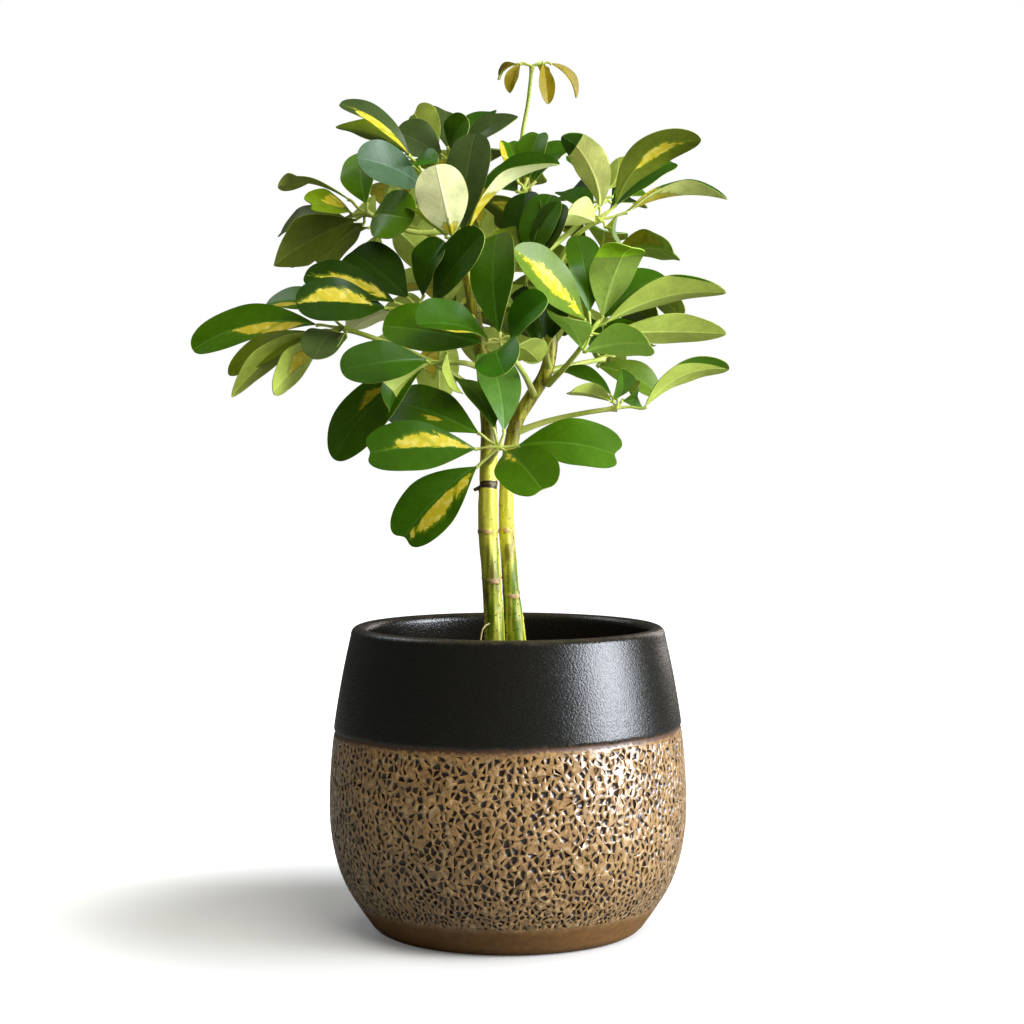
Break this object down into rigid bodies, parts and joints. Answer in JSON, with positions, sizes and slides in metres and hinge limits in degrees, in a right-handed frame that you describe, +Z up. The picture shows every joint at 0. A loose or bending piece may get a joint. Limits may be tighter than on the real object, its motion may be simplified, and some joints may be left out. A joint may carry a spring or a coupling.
{
  "type": "potted umbrella plant",
  "caption": "Variegated umbrella plant with upright green canes and fans of notched oval leaflets, growing in a round ceramic pot with a dark glazed top and a chipped tan lower wall.",
  "frame": {"origin": "centre of the pot's flat foot, on the surface it stands on", "axes": "+Z up along the pot's axis, -Y towards the viewer, +X to the viewer's right"},
  "size_m": [0.2653, 0.2274, 0.435],
  "materials": {
    "pot_ceramic": "satin black glaze on the upper third, chipped brown and tan glaze below, bare brown foot",
    "potting_soil": "matt, crumbly dark potting mix",
    "stem_bark": "satin green-yellow young bark with pale ring scars",
    "leaf": "waxy semi-gloss green with cream and yellow patches, paler matt underside",
    "young_leaf": "semi-gloss bronze-yellow new leaflets on a pale green stalk"
  },
  "bodies": {
    "root": {"pot": "pot_ceramic", "soil": "potting_soil", "stem_left": "stem_bark", "stem_right": "stem_bark", "leaf_low_front": "leaf", "leaf_mid_left": "leaf", "leaf_centre_front": "leaf", "leaf_upper_centre": "leaf", "leaf_left_centre": "leaf", "leaf_far_left": "leaf", "leaf_left_high": "leaf", "leaf_upper_left": "leaf", "leaf_top": "leaf", "leaf_young": "young_leaf", "leaf_top_centre": "leaf", "leaf_right_high": "leaf", "leaf_right_high_back": "leaf", "leaf_inner_centre": "leaf", "leaf_inner_low": "leaf", "leaf_right_mid": "leaf", "leaf_right_inner": "leaf", "leaf_right_low": "leaf", "leaf_back_low_left": "leaf", "leaf_back_low_right": "leaf", "leaf_back_mid": "leaf", "leaf_back_left": "leaf", "leaf_back_right": "leaf", "leaf_back_high": "leaf"}
  },
  "joints": []
}
